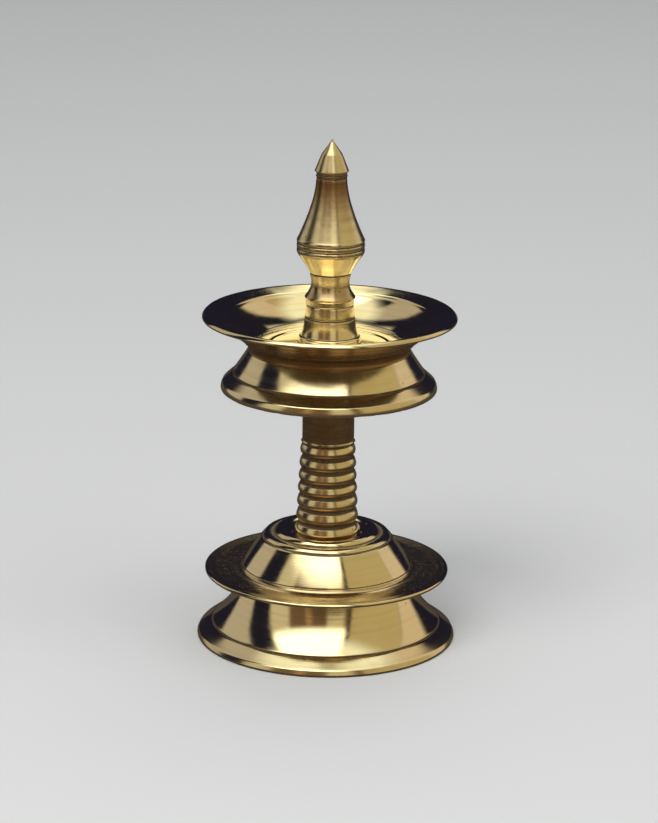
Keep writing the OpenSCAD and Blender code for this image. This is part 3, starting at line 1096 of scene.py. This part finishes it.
class Scratches(Effect):
    """Hair-thin scratches from handling, in two directions."""

    def __init__(self) -> None:
        """Names the group's sockets."""
        super().__init__("scratches", {"Scale": 60.0}, ("Mask",))

    def wire(self, net: Net, into: bpy.types.Node) -> dict[str, bpy.types.NodeSocket]:
        """Each set is the thin line where a stretched noise crosses its middle value.

        Args:
            net: the group's tree.
            into: the node that holds the group's inputs.

        Returns:
            The socket for each output.
        """
        place = net.add("TexCoord").outputs["Object"]
        masks = []
        for turn, stretch in (((0.4, 0.9, 0.3), (1.0, 14.0, 5.0)), ((1.3, 0.2, 1.9), (12.0, 1.0, 6.0))):
            laid = net.add("Mapping", i0=place, i2=turn, i3=stretch)
            wave = net.add("TexNoise", i0=laid.outputs[0], i2=into.outputs["Scale"], Detail=1.0).outputs[0]
            line = net.math("ABSOLUTE", net.math("SUBTRACT", wave, 0.5))
            thin = net.math("SUBTRACT", 1.0, net.math("DIVIDE", line, 0.006), clamp=True)
            where = net.add("TexNoise", i0=place, Scale=130.0 + 40.0 * len(masks), Detail=1.0).outputs[0]
            masks.append(net.math("MULTIPLY", thin, net.between(where, 0.52, 0.66)))
        return {"Mask": net.math("MAXIMUM", *masks)}


class CastSkin(Effect):
    """The grainy skin that the sand mould leaves where no tool has been."""

    def __init__(self) -> None:
        """Names the group's sockets."""
        super().__init__("cast_skin", {"Scale": 1500.0}, ("Height", "Mask"))

    def wire(self, net: Net, into: bpy.types.Node) -> dict[str, bpy.types.NodeSocket]:
        """Two sizes of grain, only where the mesh says that the skin is left.

        Args:
            net: the group's tree.
            into: the node that holds the group's inputs.

        Returns:
            The socket for each output.
        """
        place = net.add("TexCoord").outputs["Object"]
        grain = net.add("TexNoise", i0=place, i2=into.outputs["Scale"], Detail=4.0, Roughness=0.7).outputs[0]
        left = net.between(net.read("cast"), 0.3, 0.9)
        return {"Height": net.math("MULTIPLY", grain, left), "Mask": left}


MARKS, PATINA_AND_SHADE, PITS, SCRATCHES, CAST_SKIN = TurningMarks(), PatinaAndShade(), Pits(), Scratches(), CastSkin()


@dataclass(frozen=True)
class BrassFinish:
    """One brass finish, from the metal to what age has done to it, with shade painted into its brown and
    near-black.

    Attributes:
        name: the material's name.
        metal: the clean metal's colour.
        blush: the redder tone that it takes in patches.
        patina_and_shade: the brown of its tarnished metal and of painted shade on undersides.
        grime_and_shade: the near-black of old polish and of painted shade in its grooves and recess, and of
            its pits.
        roughness: of the clean, polished metal.
        spacing: distance between turning marks, in millimetres.
        marks: depth of the turning marks, in thousandths of a millimetre.
        tarnish_and_shade: how strongly the stored tarnished brown and painted shade show.
        pits: share of the surface's cells that hold a pit.
        scratched: how strongly scratches show.
        spread: how much the turned rings spread a reflection up and down.
    """

    name: str
    metal: Colour = (0.90, 0.75, 0.43, 1.0)
    blush: Colour = (0.88, 0.67, 0.35, 1.0)
    patina_and_shade: Colour = (0.36, 0.19, 0.07, 1.0)
    grime_and_shade: Colour = (0.045, 0.030, 0.015, 1.0)
    roughness: float = 0.13
    spacing: float = 0.42
    marks: float = 3.0
    tarnish_and_shade: float = 1.0
    pits: float = 0.03
    scratched: float = 0.5
    spread: float = 0.0

    def material(self) -> bpy.types.Material:
        """Builds the material.

        Returns:
            The material, ready for a piece.
        """
        made = bpy.data.materials.new(self.name)
        made.use_nodes = True
        made.node_tree.nodes.clear()
        net = Net(made.node_tree)
        marks = MARKS.place(net, Spacing=self.spacing)
        patina_and_shade = PATINA_AND_SHADE.place(net, Amount=self.tarnish_and_shade)
        pits = PITS.place(net, Share=self.pits).outputs["Mask"]
        scratches = SCRATCHES.place(net).outputs["Mask"]
        skin = CAST_SKIN.place(net)
        shader = net.add("BsdfPrincipled", Metallic=self.metallic(net, patina_and_shade), Anisotropic=self.spread)
        shader.inputs["Anisotropic Rotation"].default_value = UPWARD
        if self.spread:
            round_z = net.add("Tangent", {"direction_type": "RADIAL", "axis": "Z"})
            net.feed(shader.inputs["Tangent"], round_z.outputs[0])
        net.feed(shader.inputs["Base Color"], self.colour(net, patina_and_shade, marks, pits))
        net.feed(shader.inputs["Roughness"], self.gloss(net, patina_and_shade, marks, scratches, skin))
        net.feed(shader.inputs["Normal"], self.relief(net, marks, pits, scratches, skin))
        net.add("OutputMaterial", Surface=shader.outputs[0])
        return made

    def colour(self, net: Net, patina_and_shade: bpy.types.Node, marks: bpy.types.Node,
               pits: bpy.types.NodeSocket) -> bpy.types.NodeSocket:
        """Metal, blushed, then tarnished brown, then soiled near-black, with dark pits; the brown and
        near-black carry painted shade.

        Args:
            net: the material's nodes.
            patina_and_shade: the placed patina.
            marks: the placed turning marks.
            pits: the pits' mask.

        Returns:
            The colour's socket.
        """
        tone = net.mix(net.math("MULTIPLY", patina_and_shade.outputs["Blush"], 0.55), self.metal, self.blush)
        # The brown and the near-black below carry the shade that the stored skins paint on undersides,
        # grooves and the recess.
        browning_and_shade = net.math("MULTIPLY_ADD", marks.outputs["Shade"], 0.35, patina_and_shade.outputs["Brown"], clamp=True)
        brown = net.mix(browning_and_shade, tone, self.patina_and_shade)
        dirty_and_shaded = net.mix(patina_and_shade.outputs["Grime_and_shade"], brown, self.grime_and_shade)
        return net.mix(net.math("MULTIPLY", pits, 0.8), dirty_and_shaded, self.grime_and_shade)

    def metallic(self, net: Net, patina_and_shade: bpy.types.Node) -> bpy.types.NodeSocket:
        """Old polish and painted shade in grooves aren't metal."""
        return net.math("MULTIPLY_ADD", patina_and_shade.outputs["Grime_and_shade"], -0.7, 1.0)

    def gloss(self, net: Net, patina_and_shade: bpy.types.Node, marks: bpy.types.Node,
              scratches: bpy.types.NodeSocket, skin: bpy.types.Node) -> bpy.types.NodeSocket:
        """Roughness rises with turning marks, tarnish_and_shade, grime_and_shade, scratches and cast skin.

        Args:
            net: the material's nodes.
            patina_and_shade: the placed patina.
            marks: the placed turning marks.
            scratches: the scratches' mask.
            skin: the placed cast skin.

        Returns:
            The roughness's socket.
        """
        total: object = self.roughness
        for share, weight in ((marks.outputs["Shade"], 0.16), (net.read("dull"), 0.20),
                              (patina_and_shade.outputs["Brown"], 0.10), (patina_and_shade.outputs["Grime_and_shade"], 0.40),
                              (scratches, 0.25 * self.scratched), (skin.outputs["Mask"], 0.30)):
            total = net.math("MULTIPLY_ADD", share, weight, total)
        return net.math("MINIMUM", net.math("MAXIMUM", total, 0.05), 0.9)

    def relief(self, net: Net, marks: bpy.types.Node, pits: bpy.types.NodeSocket,
               scratches: bpy.types.NodeSocket, skin: bpy.types.Node) -> bpy.types.NodeSocket:
        """Adds up the depths of all marks, in thousandths of a millimetre.

        Args:
            net: the material's nodes.
            marks: the placed turning marks.
            pits: the pits' mask.
            scratches: the scratches' mask.
            skin: the placed cast skin.

        Returns:
            The bumped normal's socket.
        """
        total: object = 0.0
        for height, depth in ((marks.outputs["Height"], self.marks), (pits, -60.0),
                              (scratches, -2.0 * self.scratched), (skin.outputs["Height"], 90.0)):
            total = net.math("MULTIPLY_ADD", height, depth, total)
        return net.add("Bump", Strength=1.0, Distance=MICRON, Height=total).outputs[0]


# ---------------------------------------------------------------------------------------------------------
# Studio


@dataclass(frozen=True)
class Glow:
    """A soft panel of the tent round the lamp, as the metal sees it. Angles are in degrees from the lamp.

    Attributes:
        azimuth: its left and right edges, 0 towards the camera and 90 to the right.
        elevation: its lower and upper edges.
        soft: how far its edges fade, sideways and upwards.
        light: its brightness in red, green and blue.
    """

    azimuth: Pair
    elevation: Pair
    soft: Pair
    light: tuple[float, float, float]

    def share(self, net: Net, value: bpy.types.NodeSocket, span: Pair, soft: float) -> bpy.types.NodeSocket:
        """Finds where an angle is inside a span.

        Args:
            net: the world's nodes.
            value: the angle.
            span: the span's two ends.
            soft: how far its ends fade.

        Returns:
            The socket that is 1 inside and 0 outside.
        """
        off = net.math("SUBTRACT", value, (span[0] + span[1]) / 2)
        around = net.math("ABSOLUTE", net.math("WRAP", off, 180.0, -180.0))
        half = (span[1] - span[0]) / 2
        return net.between(around, half + soft / 2, half - soft / 2)

    def over(self, net: Net, azimuth: bpy.types.NodeSocket, elevation: bpy.types.NodeSocket,
             below: bpy.types.NodeSocket | Colour) -> bpy.types.NodeSocket:
        """Lays the panel over what is behind it.

        Args:
            net: the world's nodes.
            azimuth: the direction's azimuth.
            elevation: the direction's elevation.
            below: the colour behind the panel.

        Returns:
            The colour with the panel in front.
        """
        wide = self.share(net, azimuth, self.azimuth, self.soft[0])
        high = self.share(net, elevation, self.elevation, self.soft[1])
        return net.mix(net.math("MULTIPLY", wide, high), below, (*self.light, 1.0))


@dataclass(frozen=True)
class Softbox:
    """A soft lamp that lights the floor and throws the lamp's shadow.

    Attributes:
        name: the light's name.
        azimuth: its direction from the lamp, in degrees, 0 towards the camera and 90 to the right.
        elevation: its height, in degrees.
        distance: from the lamp, in metres.
        size: its width, in metres.
        watts: its power.
    """

    name: str
    azimuth: float
    elevation: float
    distance: float
    size: float
    watts: float

    def build(self, target: Vector) -> None:
        """Hangs the lamp and turns it to its target.

        Args:
            target: the point that it is turned to, in metres.
        """
        light = bpy.data.lights.new(self.name, "AREA")
        light.shape, light.size, light.energy = "SQUARE", self.size, self.watts
        rig = bpy.data.objects.new(self.name, light)
        turn, lift = math.radians(self.azimuth), math.radians(self.elevation)
        towards = Vector((math.sin(turn) * math.cos(lift), -math.cos(turn) * math.cos(lift), math.sin(lift)))
        rig.location = target + towards * self.distance
        rig.rotation_euler = towards.to_track_quat("Z", "Y").to_euler()
        rig.visible_glossy = False
        bpy.context.scene.collection.objects.link(rig)


@dataclass
class Studio:
    """Camera, floor, soft lamps, and the tent of panels that the metal reflects."""

    elevation: float = 16.0
    roll: float = 0.8
    distance: float = 0.867
    aim: tuple[float, float, float] = (0.00014, 0.0, 0.0688)
    lens: float = 129.1
    floor_size: float = 16.0
    paper: Colour = (0.60, 0.60, 0.59, 1.0)
    paper_in_metal: Colour = (0.045, 0.038, 0.036, 1.0)
    haze: Colour = (0.80, 0.82, 0.86, 1.0)
    room: Colour = (0.012, 0.012, 0.030, 1.0)
    tent: tuple[Glow, ...] = (
        Glow((-62, 32), (-5, 46), (10, 14), (0.16, 0.105, 0.065)),
        Glow((-77, -50), (-12, 62), (8, 16), (0.58, 0.55, 0.44)),
        Glow((-27, -19), (0, 42), (7, 14), (0.44, 0.27, 0.16)),
        Glow((2, 26), (-12, 62), (8, 16), (0.62, 0.57, 0.42)),
        Glow((-136, -105), (-20, 66), (6, 16), (0.46, 0.43, 0.40)),
        Glow((35, 104), (-20, 62), (5, 14), (0.49, 0.42, 0.25)),
        Glow((104, 132), (-20, 62), (8, 14), (0.64, 0.56, 0.46)),
        Glow((-142, 142), (60, 86), (16, 14), (1.05, 1.1, 1.0)),
        Glow((-74, 28), (47, 84), (10, 12), (2.4, 2.4, 2.2)),
        Glow((152, 208), (40, 66), (12, 6), (1.4, 1.45, 1.3)),
    )
    lamps: tuple[Softbox, ...] = (
        Softbox("key_softbox", -30, 50, 1.4, 0.9, 14),
        Softbox("fill_softbox", 60, 45, 1.6, 1.4, 8),
        Softbox("rear_softbox", 170, 55, 1.8, 1.4, 6),
    )

    def camera(self) -> None:
        """Sets up the camera at its height, with the slight roll that it is held at."""
        lift, roll = math.radians(self.elevation), math.radians(self.roll)
        back = Vector((0.0, -math.cos(lift), math.sin(lift)))
        level = Vector((1.0, 0.0, 0.0))
        right = level * math.cos(roll) + back.cross(level) * math.sin(roll)
        data = bpy.data.cameras.new("camera")
        data.lens, data.sensor_width, data.clip_start = self.lens, 36.0, 0.01
        rig = bpy.data.objects.new("camera", data)
        turn = Matrix((right, back.cross(right), back)).transposed().to_4x4()
        rig.matrix_world = Matrix.Translation(Vector(self.aim) + back * self.distance) @ turn
        bpy.context.scene.collection.objects.link(rig)
        bpy.context.scene.camera = rig

    def floor(self) -> None:
        """Lays a plain pale floor, which the metal sees as dim as the cloth that brass is shown on."""
        bm = bmesh.new()
        bmesh.ops.create_grid(bm, x_segments=8, y_segments=8, size=self.floor_size / 2)
        mesh = bpy.data.meshes.new("floor")
        bm.to_mesh(mesh)
        bm.free()
        slab = bpy.data.objects.new("floor", mesh)
        bpy.context.scene.collection.objects.link(slab)
        made = bpy.data.materials.new("pale_floor")
        made.use_nodes = True
        net = Net(made.node_tree)
        net.tree.nodes.clear()
        glossy = net.add("LightPath").outputs["Is Glossy Ray"]
        tone = net.mix(glossy, self.paper, self.paper_in_metal)
        shader = net.add("BsdfPrincipled", Base_Color=tone, Roughness=0.8)
        net.add("OutputMaterial", Surface=shader.outputs[0])
        mesh.materials.append(made)

    def world(self) -> None:
        """The tent in the metal's reflections, and an even haze for everything else."""
        world = bpy.data.worlds.new("tent")
        world.use_nodes = True
        net = Net(world.node_tree)
        net.tree.nodes.clear()
        x, y, z = net.add("SeparateXYZ", i0=net.add("TexCoord").outputs["Generated"]).outputs
        degree = math.degrees(1.0)
        azimuth = net.math("MULTIPLY", net.math("ARCTAN2", x, net.math("MULTIPLY", y, -1.0)), degree)
        elevation = net.math("MULTIPLY", net.math("ARCSINE", z), degree)
        seen: bpy.types.NodeSocket | Colour = self.room
        for glow in self.tent:
            seen = glow.over(net, azimuth, elevation, seen)
        haze = net.add("Background", Color=self.haze, Strength=0.5)
        room = net.add("Background", Color=seen, Strength=1.0)
        glossy = net.add("LightPath").outputs["Is Glossy Ray"]
        both = net.add("MixShader", i0=glossy, i1=haze.outputs[0], i2=room.outputs[0])
        net.add("OutputWorld", Surface=both.outputs[0])
        bpy.context.scene.world = world

    def build(self) -> None:
        """Sets up everything that isn't the lamp."""
        self.camera()
        self.floor()
        self.world()
        for lamp in self.lamps:
            lamp.build(Vector(self.aim))


# ---------------------------------------------------------------------------------------------------------


def castings() -> Iterator[Turned]:
    """Gives the lamp's four castings their nodes, slots and finishes.

    Yields:
        Each casting, from the table up.
    """
    polished, worn = "polished_brass", "worn_brass"
    mirror = BrassFinish("base_brass", roughness=0.09, marks=4.5)
    bright = BrassFinish("bowl_brass", roughness=0.08, marks=5.0)
    handled = BrassFinish("stem_brass", roughness=0.13, marks=8.0, pits=0.25, scratched=1.0)
    satin = BrassFinish("finial_brass", roughness=0.16, marks=8.0, pits=0.2, spread=0.8)
    yield Base("base", polished, mirror, wobble=0.05)
    yield Stem("stem", worn, handled)
    yield OilBowl("oil_bowl", polished, bright, wobble=0.08)
    yield Finial("finial", polished, satin)


def main() -> None:
    """Builds the studio and the four castings, and reports each piece."""
    logging.basicConfig(level=logging.INFO, format="%(name)s: %(message)s")
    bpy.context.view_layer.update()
    bpy.context.scene.view_settings.view_transform = "Standard"
    Studio().build()
    for casting in castings():
        piece = casting.build()
        LOG.info("%s stands for %s", piece.name, casting.node)


if __name__ == "__main__":
    main()
